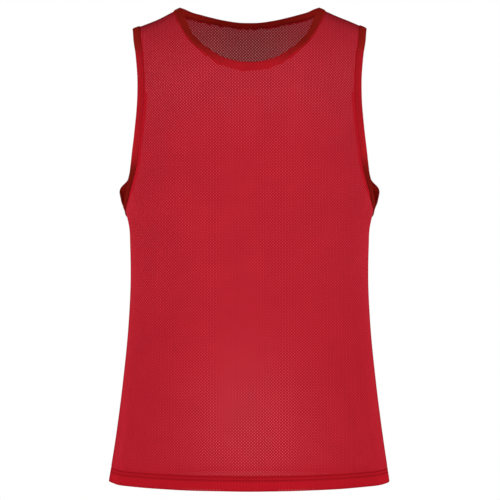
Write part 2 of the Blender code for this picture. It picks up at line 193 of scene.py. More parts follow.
# How far the cloth swells out at a place: bell curves round each fold's leaning line, waves at the hem
# that die away upwards, and the grooves of its two rows of stitches.
def swelling(angle, drop, side):
    degrees = np.degrees(angle)
    total = np.zeros_like(degrees)
    fade = softStep(*bibForm["creaseStart"], drop)
    for signed, folds in ((1, largeFolds), (side, smallCreases)):
        for foldAngle, foldDrop, lean, halfAngle, halfHeight, rise in folds:
            off = signed * degrees - foldAngle - lean * (drop - foldDrop)
            off = (off + 180) % 360 - 180
            bell = np.exp(-((off / halfAngle) ** 2) - ((drop - foldDrop) / halfHeight) ** 2)
            total += rise * bell * (1 if folds is largeFolds else fade)
    height = bibForm["length"] - drop
    waves = sum(
        rise * np.sin(count * side * angle + start)
        for count, rise, start in zip(hemWave["waves"], hemWave["rise"], hemWave["start"])
    )
    total += waves * np.exp(-height / hemWave["fadeHeight"])
    for row in hemStitching["rows"]:
        total -= hemStitching["groove"] * np.exp(-(((height - row) / hemStitching["grooveWidth"]) ** 2))
    return total


# The turn over the shoulder and the drop, from the reach: an arc, then straight down.
def overShoulder(reach):
    roll = bibForm["shoulderRoll"]
    turn = np.minimum(reach / roll, rightAngle)
    return turn, roll * (1 - np.cos(turn)) + reach - roll * turn


# A point of the cloth from its angle, 0 in front and pi behind, and its reach, the distance down the
# cloth from the ridge: on a superellipse |x/a|^n + |y/b|^n = 1 in polar form, without depth at the
# ridge. It is on the half at +X, and side, 1 or -1, says whose creases it has.
def cloth(place, side):
    angle = place[..., 0]
    turn, drop = overShoulder(place[..., 1])
    front = angle <= rightAngle
    depth = np.where(front, ringSize(drop, "frontDepth"), ringSize(drop, "backDepth"))
    roundness = np.where(front, ringSize(drop, "frontRound"), ringSize(drop, "backRound"))
    across, ahead = np.sin(angle), np.cos(angle)
    radius = (np.abs(across) ** roundness + np.abs(ahead) ** roundness) ** (-1 / roundness)
    x = ringSize(drop, "halfWidth") * radius * across
    y = -depth * radius * ahead * np.sin(turn)
    z = -drop - ridgeShare(drop) * ridgeDrop(x)
    if side > 0:
        middle, halfWidth = bibForm["leftLiftX"]
        lift = bibForm["leftLift"] * np.exp(-(((x - middle) / halfWidth) ** 2))
        lift *= 1 - softStep(0.0, bibForm["leftLiftFade"], drop)
        z = z + lift * (1 - softStep(*bibForm["leftLiftEnd"], x))
    swell = swelling(angle, drop, side) * radius
    return np.stack([x + swell * across, y - swell * ahead, z], axis=-1)


# The place with this x and this real drop. Its level is the drop less the share of the ridge's that it
# follows, found in rounds, and its angle is that of the superellipse at x.
def onCloth(x, drop, back):
    level = drop - ridgeDrop(x)
    for _ in range(accuracy["levelRounds"]):
        level = drop - ridgeShare(level) * ridgeDrop(x)
    level = np.maximum(level, 0.0)
    share = np.clip(x / ringSize(level, "halfWidth"), 0.0, 1.0)
    roundness = ringSize(level, "backRound" if back else "frontRound")
    angle = np.arctan2(share, (1 - share**roundness) ** (1 / roundness))
    roll = bibForm["shoulderRoll"]
    reach = roll * np.arccos(np.clip(1 - level / roll, 0.0, 1.0)) + np.maximum(level - roll, 0.0)
    return np.stack([math.pi - angle if back else angle, reach], axis=-1)


# How a point moves with its angle and its reach: small differences.
def slopesAt(place, side):
    step = accuracy["slopeStep"]
    turned, lowered = np.array([step, 0.0]), np.array([0.0, step])
    around = (cloth(place + turned, side) - cloth(place - turned, side)) / (2 * step)
    down = (cloth(place + lowered, side) - cloth(place - lowered, side)) / (2 * step)
    return around, down


# Vectors divided by their lengths.
def unit(vectors):
    return vectors / np.linalg.norm(vectors, axis=-1, keepdims=True)


# The cloth's normal: the cross product of its slopes.
def outward(place, side):
    around, down = slopesAt(place, side)
    return unit(np.cross(around, -down))


# The length along a line at each of its points: the sum of its steps.
def lengthAlong(points):
    return np.concatenate([[0.0], np.cumsum(np.linalg.norm(np.diff(points, axis=0), axis=1))])


# Rows of values at these lengths, straight between neighbours.
def atLengths(wanted, length, rows):
    return np.stack([np.interp(wanted, length, column) for column in rows.T], axis=-1)


# Close places on a smooth curve through the stops. Each mirror, offset and signs, carries it on.
def route(stops, mirrorStart, mirrorEnd, first, last, side):
    before = mirrorStart[0] + mirrorStart[1] * stops[1]
    after = mirrorEnd[0] + mirrorEnd[1] * stops[-2]
    stops = np.vstack([before, stops, after])
    knots = lengthAlong(cloth(stops, side))
    wanted = np.linspace(knots[first + 1], knots[last + 1], accuracy["curvePlaces"])
    return smoothCurve(knots, stops, wanted)


# The places at these shares of a curve's length on the cloth.
def stations(curve, shares, side):
    length = lengthAlong(cloth(curve, side))
    return atLengths(shares * length[-1], length, curve)


# Directions in the cloth away from an opening: along its edge crossed with the normal, square at its ends.
def inwardFrom(edge, side):
    along = np.gradient(cloth(edge, side), axis=0)
    for end in (0, -1):
        along[end] = np.where(np.abs(along[end]) < np.abs(along[end]).max(), 0.0, along[end])
    return unit(np.cross(along, outward(edge, side)))


# Places at a distance from an edge on the cloth: short steps, each of which solves for the change of
# both coordinates that moves the point in the wanted direction.
def walk(edge, direction, distance, side):
    place, steps = edge.copy(), accuracy["walkSteps"]
    for _ in range(steps):
        around, down = slopesAt(place, side)
        a, b, c = (np.sum(p * q, axis=1) for p, q in ((around, around), (around, down), (down, down)))
        p, q = np.sum(direction * around, axis=1), np.sum(direction * down, axis=1)
        move = np.stack([p * c - q * b, q * a - p * b], axis=-1) / (a * c - b * b)[:, None]
        size = np.linalg.norm(move[:, :1] * around + move[:, 1:] * down, axis=1)
        place = place + move * (distance / steps / size)[:, None]
    return place


tapeSize = {
    "width": 0.011,
    "wall": 0.0008,
    "belowTape": 0.0008,  # the panel bends this far below the tape
    "offset": 0.0011,  # from the middle of the cloth to the middle of the tape
    "frontNeckStand": math.radians(38),  # how far it tips in towards the neck, at its steepest
    "backNeckStand": math.radians(17),
    "crown": 0.00030,  # its rise across
    "sewnEdge": (0.0004, 0.45),  # its dip there: this much further, to this share of the offset
    "cellsAcross": 5,
    "cellsRoundFold": 5,  # from the leaf to the middle of the fold
    "stitchLine": 0.0018,  # the row of stitches that holds it, from its sewn edge
    "stitchEnds": (0.7, 0.7),  # of a pitch, free at the shoulder, the side and the middle
}
panelGrid = {
    # cells
    "underArm": 12, "upChest": 44, "upShoulder": 14, "belowArm": 110, "acrossNeck": 30, "acrossShoulder": 24,
    "neckCrowding": 1.25,  # a power that brings the cells closer towards the shoulder
    "hemRows": ((0.0, 0.0128, 6), (0.0138, 0.0162, 5), (0.0170, 0.0178, 2), (0.0187, 0.0211, 5)),
    "armBendShare": 0.20,  # share of an armhole edge that is its level bottom
    "wall": 0.0009,
    "foldRadius": 0.0007,  # of turned edges, at the middle of the cloth
    "foldCells": 6,
    "turnedShares": (0.25, 0.5, 0.75, 1.0),  # rows of a turned-in edge
    "pressed": 0.00004,  # how far the two rolled edges of a seam overlap
    "rawEdge": 0.0025,  # from a panel's edge under the tape to the tape's own
    "allowance": 0.006,
    "hemDepth": 0.0215,
}


# even shares from 0 to 1
def evenly(cells):
    return np.linspace(0.0, 1.0, cells + 1)


# Shares of the way beside the arm, closer at both ends: t - sin(2 pi t) / 4 pi.
def besideArm():
    even = evenly(panelGrid["upChest"] + panelGrid["upShoulder"])
    return even - np.sin(2 * math.pi * even) / (4 * math.pi)


# The free edge of the neck or an armhole, from the middle or the underarm to the ridge: a smooth curve
# through its table's places, mirrored past both ends.
def freeEdge(back, neck, side):
    overRidge = (np.zeros(2), np.array([1.0, -1.0]))

    def stops(name, x, onBack):
        rows = np.array(openingEdges[name]) / 1000
        top = onCloth(np.array([x]), ridgeDrop(np.array([x])), onBack)
        return np.vstack([onCloth(rows[:, 0], rows[:, 1], onBack), top])

    if neck:
        places = stops("backNeck" if back else "frontNeck", bibForm["highShoulderX"], back)
        middle = (np.array([2 * math.pi if back else 0.0, 0.0]), np.array([-1.0, 1.0]))
        curve = route(places, middle, overRidge, 0, len(places) - 1, side)
        even = evenly(panelGrid["acrossNeck"] + panelGrid["upShoulder"])[::-1]
        return stations(curve, 1 - even ** panelGrid["neckCrowding"], side)
    front = stops("frontArmhole", bibForm["shoulderTipX"], False)
    rear = stops("backArmhole", bibForm["shoulderTipX"], True)
    underarm = np.array([[rightAngle, reachOf(bibForm["underarmDrop"])]])
    places = np.vstack([front[::-1], underarm, rear])
    low, top = len(front), (len(places) - 1 if back else 0)
    curve = route(places, overRidge, overRidge, min(low, top), max(low, top), side)
    curve = curve if back else curve[::-1]
    bend = panelGrid["armBendShare"]
    under = bend * evenly(panelGrid["underArm"])[:-1]
    return stations(curve, np.concatenate([under, bend + (1 - bend) * besideArm()]), side)


# The seam line of an opening, a tape's width in from its free edge, and the tape's directions towards
# the opening and off the cloth. The neck's tape is tipped in, by a half wave on each side of the front
# and most in the middle of the back.
def boundEdge(back, neck, side):
    edge = freeEdge(back, neck, side)
    turned = -1 if back == neck else 1
    width = tapeSize["width"] + tapeSize["belowTape"]
    seam = walk(edge, inwardFrom(edge, side) * turned, width, side)
    seam[0, 0] = edge[0, 0]
    seam[-1, 1] = 0.0
    normal = outward(seam, side)
    away = cloth(edge, side) - cloth(seam, side)
    away = unit(away - np.sum(away * normal, axis=1, keepdims=True) * normal)
    share = evenly(len(edge) - 1)[:, None]
    stand = 0.0 * share
    if neck and back:
        stand = tapeSize["backNeckStand"] * np.cos(rightAngle * share) ** 2
    elif neck:
        stand = tapeSize["frontNeckStand"] * np.sin(math.pi * share) ** 2
    return seam, np.cos(stand) * away - np.sin(stand) * normal, np.cos(stand) * normal + np.sin(stand) * away


# A grid's columns are the point, its place in the flat cut and values that the materials read: how far
# it is outside the doubled cloth and from a seam, how far the knit is stretched open and how strong its
# painted highlights are, how far the tape turns to its painted shade tint, and how much painted shade there
# is.
panelValues = ("bare", "seam", "opened", "dim")
tapeValues = ("deep", "dim")
bareColumn = 5
allDoubled = -0.01  # the value there of cloth that is doubled all over


# A grid of places between four lines of places, blended across (a Coons patch).
def patch(bottom, top, left, right):
    u = np.linspace(0.0, 1.0, len(bottom))[None, :, None]
    v = np.linspace(0.0, 1.0, len(left))[:, None, None]
    level = (1 - v) * bottom[None] + v * top[None]
    upright = (1 - u) * left[:, None] + u * right[:, None]
    corners = (1 - v) * ((1 - u) * bottom[0] + u * bottom[-1]) + v * ((1 - u) * top[0] + u * top[-1])
    return level + upright - corners


# Places straight between two, or between two lines of places, at these shares of the way.
def straight(start, end, shares):
    shares = np.asarray(shares)[:, None]
    return np.asarray(start) * (1 - shares) + np.asarray(end) * shares


# Puts an object with this data into the scene.
def newObject(name, data):
    thing = bpy.data.objects.new(name, data)
    scene.collection.objects.link(thing)
    return thing


# A smooth-shaded mesh of one material.
def newPiece(name, points, faces, material):
    mesh = bpy.data.meshes.new(name)
    mesh.from_pydata(points, [], faces)
    mesh.shade_smooth()
    mesh.materials.append(material)
    return newObject(name, mesh)


# One mesh from grids that share their borders: four neighbours make a face, doubles are merged, and the
# first grid is turned away from the body's axis before the wall is added.
def meshFromGrids(name, grids, values, material, wall):
    points, faces, start = [], [], 0
    for grid in grids:
        rows, columns = grid.shape[:2]
        corner = start + np.arange(rows - 1)[:, None] * columns + np.arange(columns - 1)
        cells = np.stack([corner, corner + 1, corner + columns + 1, corner + columns], axis=-1)
        faces.append(cells.reshape(-1, 4))
        points.append(grid.reshape(-1, grid.shape[-1]))
        start += rows * columns
    firstFaces = len(faces[0])
    points, faces = np.vstack(points), np.vstack(faces)
    piece = newPiece(name, points[:, :3].tolist(), faces.tolist(), material)
    mesh = piece.data
    mesh.uv_layers.new(name="flatCut").data.foreach_set("uv", points[faces.ravel(), 3:5].ravel())
    for index, value in enumerate(values, bareColumn):
        attribute = mesh.attributes.new(value, "FLOAT", "POINT")
        attribute.data.foreach_set("value", points[:, index].astype(np.float32))
    sheet = bmesh.new()
    sheet.from_mesh(mesh)
    bmesh.ops.remove_doubles(sheet, verts=sheet.verts, dist=accuracy["mergeDistance"])
    bmesh.ops.recalc_face_normals(sheet, faces=sheet.faces)
    sheet.faces.ensure_lookup_table()
    if sum(face.normal.xy.dot(face.calc_center_median().xy) for face in sheet.faces[:firstFaces]) < 0:
        bmesh.ops.reverse_faces(sheet, faces=sheet.faces)
    sheet.to_mesh(mesh)
    sheet.free()
    thickness = piece.modifiers.new("wall", "SOLIDIFY")
    thickness.thickness = wall
    thickness.offset = 0.0
    return piece


# A colour of the screen as light: each channel through the sRGB curve.
def linear(hexColour):
    channels = np.array([int(hexColour[i : i + 2], 16) for i in (1, 3, 5)]) / 255
    low, high = channels / 12.92, ((channels + 0.055) / 1.055) ** 2.4
    return (*np.where(channels <= 0.04045, low, high).tolist(), 1.0)


# Gives a node its inputs, values or links: a dictionary, or a row in their order.
def setInputs(node, inputs):
    for name, value in inputs.items() if isinstance(inputs, dict) else enumerate(inputs):
        if isinstance(value, bpy.types.NodeSocket):
            node.id_data.links.new(value, node.inputs[name])
        else:
            node.inputs[name].default_value = value


# Adds a node with its settings and links, and gives back one of its outputs.
def addNode(tree, kind, settings, inputs=(), output=0):
    node = tree.nodes.new("ShaderNode" + kind)
    for name, value in settings.items():
        setattr(node, name, value)
    setInputs(node, inputs)
    return node.outputs[output]


# A material, its main shader with the constants on its own sockets, and addNode for its tree.
def newMaterial(name, constants):
    material = bpy.data.materials.new(name)
    material.use_nodes = True
    shader = material.node_tree.nodes["Principled BSDF"]
    setInputs(shader, constants)
    return material, shader, partial(addNode, material.node_tree)


# settings that many nodes share
add, subtract, multiply = {"operation": "ADD"}, {"operation": "SUBTRACT"}, {"operation": "MULTIPLY"}
divide, multiplyAdd = {"operation": "DIVIDE"}, {"operation": "MULTIPLY_ADD"}
absolute, scale = {"operation": "ABSOLUTE"}, {"operation": "SCALE"}
smooth = {"interpolation_type": "SMOOTHSTEP"}
noiseRange = (0.3, 0.7)  # what a noise texture mostly gives
waveLength = 0.314  # a wave texture of scale 1 repeats over this

knitFinish = {
    "colour": "#b41c2a",
    "doubled": "#b31723",  # where two or more layers lie on each other
    "doubledEdge": (-0.0003, 0.0005),  # how softly that begins
    "paintedGlint": "#e86e7a",  # painted highlight, pale pink, in each open hole
    "highlightEdge": (1.7, 0.7),  # in radii of a hole, from none to all
    "foldBands": (0.066, 0.0208, 0.0312),  # the painted highlight shows at the hem's fold too: middle, core and end of a band
    "foldBandHeight": (0.0010, 0.0034),
    "holePitch": 0.0044,  # along a row
    "rowPitch": 0.0021,  # rows are staggered by half a pitch
    "holeRadius": 0.00050,
    "holeEdge": (1.25, 0.75),  # in radii, from closed to open
    "holeStretch": 1.25,  # a hole is taller than wide
    "seeThrough": 0.62,  # how clear an open hole is in each face of the cloth
    "atHole": 1.50,  # painted light round an open hole, and painted shade between holes, for the knit's relief
    "betweenHoles": 0.85,
    "brightEnd": 0.0013,  # from the hole's centre to the darker knit
    "closedShare": 0.44,  # share of that contrast and clearness in unstretched knit
    "loopWidth": 0.0007,  # columns of loops, whose legs slant to and fro
    "loopHeight": 0.0009,
    "loopSlant": 4.0,
    "loopShade": 0.08,
    "cloudScale": 22.0,
    "clouds": (0.97, 1.03),  # slow changes of tone over the whole bib,
    "stripes": (0.965, 1.035),  # and faint stripes down the knit
    "needleRowShade": (0.0004, 0.0030, 0.80),  # painted shade in the hem's grooves: between these distances, and how dark
    "hemFoldShade": (0.0, 0.0050, 0.84),  # painted shade the same way at the hem's fold,
    "seamShade": (0.0008, 0.0026, 0.50),  # and along the seams
    "bump": (0.6, 0.0003),  # strength and depth
    "bumpRim": (0.0004, 0.0012),
    "loopBump": 0.25,
    "shader": {
        "Roughness": 0.80,
        "Specular IOR Level": 0.0,  # any more turns its edges pale
        "Sheen Weight": 0.01,
        "Sheen Roughness": 0.4,
        "Sheen Tint": linear("#ffb0b0"),
    },
}
tapeFinish = {
    "colour": "#b11a23",
    # painted shade: the dark brownish red that the tape turns to where it lies in shade
    "paintedShadeColour": "#8f1c15",
    "mottleScale": 40.0,
    "mottle": (0.94, 1.06),
    "ribPitch": 0.0011,
    "ribWander": 0.4,
    "bump": (0.25, 0.0002),
    "shader": {"Roughness": 0.55, "Specular IOR Level": 0.0},
}
threadFinish = {
    "colour": "#8f1220",
    "mottleScale": 300.0,
    "mottle": (0.85, 1.15),
    "shader": {"Roughness": 0.6, "Specular IOR Level": 0.0},
}


# Warp-knitted polyester with open eyelets: staggered round holes, 1 mm wide, matt from afar with a faint
# sheen, painted highlights and painted shade. Its loops are real size, too fine to show from afar.
def knitMaterial(finish):
    material, shader, node = newMaterial("openHoleKnit", finish["shader"])
    flat = node("UVMap", {"uv_map": "flatCut"})
    across = node("SeparateXYZ", {}, (flat,), "X")
    down = across.node.outputs["Y"]
    height = node("Math", subtract, (hemReach, down))
    bare, seam, opened, dim = (
        node("Attribute", {"attribute_name": name}, (), "Fac") for name in panelValues
    )

    # distance to the nearest hole: two lattices, half a cell apart, and an oval measure
    pitch = (finish["holePitch"], 2 * finish["rowPitch"], 1.0)
    measure = (pitch[0], pitch[1] / finish["holeStretch"], 0.0)
    cells = node("VectorMath", divide, (flat, pitch))
    distances = []
    for shift in (0.0, 0.5):
        shifted = node("VectorMath", add, (cells, (shift, shift, 0.0)))
        inCell = node("VectorMath", {"operation": "FRACTION"}, (shifted,))
        fromCentre = node("VectorMath", subtract, (inCell, (0.5, 0.5, 0.0)))
        oval = node("VectorMath", multiply, (fromCentre, measure))
        distances.append(node("VectorMath", {"operation": "LENGTH"}, (oval,), "Value"))
    toHole = node("Math", {"operation": "MINIMUM"}, distances)
    radius = finish["holeRadius"]
    hole, highlightDisc = (
        node("MapRange", smooth, (toHole, radius * closed, radius * clear, 0.0, 1.0))
        for closed, clear in (finish["holeEdge"], finish["highlightEdge"])
    )

    # painted highlights in the holes of stretched knit, and in bands at the hem's fold
    single = node("MapRange", smooth, (bare, *finish["doubledEdge"], 0.0, 1.0))
    share = node("Math", multiplyAdd, (opened, 1 - finish["closedShare"], finish["closedShare"]))
    bandMiddle, bandCore, bandEnd = finish["foldBands"]
    fromMiddle = node("Math", absolute, (across,))
    fromBand = node("Math", subtract, (fromMiddle, bandMiddle))
    fromBand = node("Math", absolute, (fromBand,))
    inBand = node("MapRange", smooth, (fromBand, bandCore, bandEnd, 1.0, 0.0))
    atFold = node("MapRange", smooth, (height, *finish["foldBandHeight"], 1.0, 0.0))
    paintedGlints = []
    for factors in ((opened, single), (inBand, atFold)):
        paintedGlint = highlightDisc
        for factor in factors:
            paintedGlint = node("Math", multiply, (paintedGlint, factor))
        paintedGlints.append(paintedGlint)
    paintedGlint = node("Math", {"operation": "MAXIMUM"}, paintedGlints)

    # what shades the colour: clouds and stripes of tone, and painted light and shade of grooves, folds,
    # seams, holes and loops
    where = node("TexCoord", {}, (), "Object")
    noise = {"Vector": where, "Scale": finish["cloudScale"], "Detail": 3.0, "Roughness": 0.6}
    clouds = node("TexNoise", {}, noise, "Fac")
    wave = {"Vector": flat, "Scale": waveLength / finish["holePitch"], "Distortion": 0.6, "Detail": 1.0}
    stripes = node("TexWave", {"bands_direction": "X"}, wave, "Fac")
    ramps = [(clouds, *noiseRange, *finish["clouds"]), (stripes, 0.0, 1.0, *finish["stripes"])]
    for row in hemStitching["rows"]:
        fromRow = node("Math", subtract, (height, row))
        fromRow = node("Math", absolute, (fromRow,))
        ramps.append((fromRow, *finish["needleRowShade"], 1.0))
    ramps += [(height, *finish["hemFoldShade"], 1.0), (seam, *finish["seamShade"], 1.0)]
    shades = [node("MapRange", smooth, ramp) for ramp in ramps]
    # the painted shade that each place of the cloth carries
    shades.append(node("Math", subtract, (1.0, dim)))
    # painted light round each open hole and painted shade between holes, stronger in stretched knit
    relief = (toHole, radius, finish["brightEnd"], finish["atHole"] - 1, finish["betweenHoles"] - 1)
    relief = node("MapRange", smooth, relief)
    shades.append(node("Math", multiplyAdd, (relief, share, 1.0)))
    slant = node("Math", divide, (across, finish["loopWidth"]))
    slant = node("Math", {"operation": "PINGPONG"}, (slant, 1.0))
    slant = node("Math", multiply, (slant, finish["loopSlant"]))
    turns = node("Math", multiplyAdd, (down, 2 * math.pi / finish["loopHeight"], slant))
    loops = node("Math", {"operation": "SINE"}, (turns,))
    shades.append(node("Math", multiplyAdd, (loops, finish["loopShade"], 1.0)))
    shade = shades[0]
    for factor in shades[1:]:
        shade = node("Math", multiply, (shade, factor))

    # the painted highlight in the holes is mixed in last
    colour = linear(finish["doubled"])
    for factor, wanted in ((single, "colour"), (paintedGlint, "paintedGlint")):
        mix = {"Factor": factor, "A": colour, "B": linear(finish[wanted])}
        colour = node("Mix", {"data_type": "RGBA"}, mix, 2)
    colour = node("VectorMath", scale, {0: colour, "Scale": shade})
    through = finish["seeThrough"]
    for factor in (share, single, hole):
        through = node("Math", multiply, (factor, through))
    alpha = node("Math", subtract, (1.0, through))
    rims = node("MapRange", smooth, (toHole, *finish["bumpRim"], 0.0, 1.0))
    surface = node("Math", multiplyAdd, (loops, finish["loopBump"], rims))
    strength, depth = finish["bump"]
    bump = node("Bump", {}, {"Strength": strength, "Distance": depth, "Height": surface})
    setInputs(shader, {"Base Color": colour, "Alpha": alpha, "Normal": bump})
    return material


# Close interlock knit tape of filament polyester: smooth and satin, with ribs too fine to see, so they
# are drawn 1.1 mm apart and only just catch the light.
def tapeMaterial(finish):
    material, shader, node = newMaterial("satinKnitTape", finish["shader"])
    flat = node("UVMap", {"uv_map": "flatCut"})
    wave = {"Vector": flat, "Scale": waveLength / finish["ribPitch"], "Distortion": finish["ribWander"]}
    ribs = node("TexWave", {"bands_direction": "Y"}, wave, "Fac")
    where = node("TexCoord", {}, (), "Object")
    noise = {"Vector": where, "Scale": finish["mottleScale"], "Detail": 2.0}
    mottle = node("TexNoise", {}, noise, "Fac")
    shade = node("MapRange", {}, (mottle, *noiseRange, *finish["mottle"]))
    # painted shade from the tape's values: a tint towards the dark brownish red, and a share of darkening,
    # which lightens below zero
    deep, dim = (node("Attribute", {"attribute_name": name}, (), "Fac") for name in tapeValues)
    light = node("Math", subtract, (1.0, dim))
    shade = node("Math", multiply, (shade, light))
    mix = {"Factor": deep, "A": linear(finish["colour"]), "B": linear(finish["paintedShadeColour"])}
    satin = node("Mix", {"data_type": "RGBA"}, mix, 2)
    colour = node("VectorMath", scale, {0: satin, "Scale": shade})
    strength, depth = finish["bump"]
    bump = node("Bump", {}, {"Strength": strength, "Distance": depth, "Height": ribs})
    setInputs(shader, {"Base Color": colour, "Normal": bump})
    return material


# Spun polyester sewing thread: matt, a shade deeper than the cloth. Its twist is too fine to show.
def threadMaterial(finish):
    material, shader, node = newMaterial("polyesterThread", finish["shader"])
    where = node("TexCoord", {}, (), "Object")
    mottle = node("TexNoise", {}, {"Vector": where, "Scale": finish["mottleScale"]}, "Fac")
    shade = node("MapRange", {}, (mottle, 0.0, 1.0, *finish["mottle"]))
    colour = node("VectorMath", scale, {0: linear(finish["colour"])[:3], "Scale": shade})
    setInputs(shader, {"Base Color": colour})
    return material


# how far the knit is stretched open and how strong its painted highlights are: shares, and the drops where
# they hold
openAndGlintShares = {
    "frontShoulder": (0.108, 0.068, 0.5),  # a bell: its middle, its half height and its share
    "backShoulder": (0.08, 0.18),  # all open above the first, and not below the second
    "lowMiddle": (0.600, 0.110, 0.8),  # another bell
    "lowHalfWidth": 0.09,
    "elsewhere": (0.27, 0.14),  # in the upper and the lower part
    "elsewhereChange": (0.35, 0.55),
    "hemShare": 0.3,  # of all that is left in the hem, growing to all of it at a height
    "hemHeight": 0.042,
}
# painted shade along the shoulder's ridge, down the sides and on the upper back: a share, and the distances
# between which it fades
paintedPanelShade = {
    "ridge": (0.46, 0.0, 0.052),
    "side": (0.19, 0.0, 0.055),
    "sideStart": (0.24, 0.32),  # drops
    "upperBack": (0.12, 0.08, 0.14),  # drops
}
# how far the cloth is doubled past the sewn edge of a tape
doubledCloth = {"pastTape": 0.0012, "pastArmTape": 0.0060, "pastArmDrops": (0.17, 0.32)}
ridgeSeamShare = 0.4  # the painted shade along the shoulder's seam reaches wider than the side's

boundEdges = {(b, n, s): boundEdge(b, n, s) for b in (False, True) for n in (False, True) for s in (1, -1)}


# The place in the flat cut: the length of the level line from the panel's middle, and the distance
# down the cloth from the high shoulder's level.
def flatPlace(place, back, side):
    middle = math.pi if back else 0.0
    angles = middle + (place[..., :1] - middle) * evenly(accuracy["widthCells"])
    reaches = np.broadcast_to(place[..., 1:], angles.shape)
    points = cloth(np.stack([angles, reaches], axis=-1), side)
    u = np.linalg.norm(np.diff(points, axis=-2), axis=-1).sum(axis=-1)
    _, drop = overShoulder(place[..., 1])
    v = place[..., 1] + ridgeShare(drop) * ridgeDrop(points[..., -1, 0])
    return u, v


# All the columns of a grid of places. The cloth is single where the least of its distances past the
# doubled strips is above zero. It is stretched open, with stronger painted highlights, by bell curves and
# soft steps of the drop, and gets painted shade by soft steps of the distances to the ridge and the side, and
# of the drop.
def onPanel(place, back, side):
    points = cloth(place, side)
    u, v = flatPlace(place, back, side)
    ends = [cloth(boundEdges[back, neck, side][0], side) for neck in (False, True)]
    toTape = [np.linalg.norm(points[..., None, :] - end, axis=-1).min(axis=-1) for end in ends]
    toRidge = place[..., 1]
    toSide = np.abs(place[..., 0] - rightAngle) * np.hypot(points[..., 0], points[..., 1])
    start, end = doubledCloth["pastArmDrops"]
    pastArm = np.where((v > start) & (v < end), doubledCloth["pastArmTape"], doubledCloth["pastTape"])
    singles = [
        hemReach - toRidge - panelGrid["hemDepth"],
        toRidge - panelGrid["allowance"],
        toSide - panelGrid["allowance"],
        toTape[0] - pastArm,
        toTape[1] - doubledCloth["pastTape"],
    ]

    opening, drop = openAndGlintShares, -points[..., 2]
    if back:
        high = 1 - softStep(*opening["backShoulder"], drop)
    else:
        middle, span, share = opening["frontShoulder"]
        high = share * np.exp(-(((drop - middle) / span) ** 2))
    middle, span, share = opening["lowMiddle"]
    low = np.exp(-(((drop - middle) / span) ** 2) - (points[..., 0] / opening["lowHalfWidth"]) ** 2)
    upper, lower = opening["elsewhere"]
    usual = upper + (lower - upper) * softStep(*opening["elsewhereChange"], drop)
    opened = usual + (1 - usual) * np.maximum(high, share * low)
    aboveHem = softStep(panelGrid["hemDepth"], opening["hemHeight"], hemReach - toRidge)
    opened *= opening["hemShare"] + (1 - opening["hemShare"]) * aboveHem

    loss, *fade = paintedPanelShade["ridge"]
    dim = loss * (1 - softStep(*fade, toRidge))
    loss, *fade = paintedPanelShade["side"]
    dim += loss * softStep(*paintedPanelShade["sideStart"], drop) * (1 - softStep(*fade, toSide))
    if back:
        loss, *fade = paintedPanelShade["upperBack"]
        dim = np.maximum(dim, loss * (1 - softStep(*fade, drop)))
    seam = np.minimum(ridgeSeamShare * toRidge, toSide)
    values = [u, v, np.minimum.reduce(singles), seam, opened, dim]
    return np.concatenate([points, np.stack(values, axis=-1)], axis=-1)


# Turned-in cloth: round a half circle at the edge, then back inside the panel, one fold's width off it,
# to the inner line of places.
def turnedEdge(edge, inner, back, side, shares=panelGrid["turnedShares"]):
    radius = panelGrid["foldRadius"]
    first = onPanel(edge, back, side)
    normal = outward(edge, side)
    beyond = unit(first[:, :3] - cloth(inner, side))
    turns = np.linspace(0.0, math.pi, panelGrid["foldCells"] + 1)[:, None, None]
    fold = np.repeat(first[None], len(turns), axis=0)
    fold[..., :3] += radius * ((np.cos(turns) - 1) * normal + np.sin(turns) * beyond)
    rows = [*fold]
    for share in shares:
        place = edge * (1 - share) + inner * share
        row = onPanel(place, back, side)
        row[:, :3] -= 2 * radius * outward(place, side)
        rows.append(row)
    rows = np.stack(rows)
    rows[..., bareColumn] = allDoubled
    return rows


# Places moved a little off the shoulder's ridge and the side seam, so that the two panels' rolled
# edges just touch there.
def offSeams(place, back, side):
    setback = panelGrid["foldRadius"] + panelGrid["wall"] / 2 - panelGrid["pressed"]
    place = place.copy()
    around, down = slopesAt(place, side)
    onRidge = place[:, 1] < accuracy["onLine"]
    atSide = np.abs(place[:, 0] - rightAngle) < accuracy["onLine"]
    place[onRidge, 1] = setback / np.abs(down[onRidge, 1])
    place[atSide, 0] += (1 if back else -1) * setback / np.abs(around[atSide, 1])
    return place


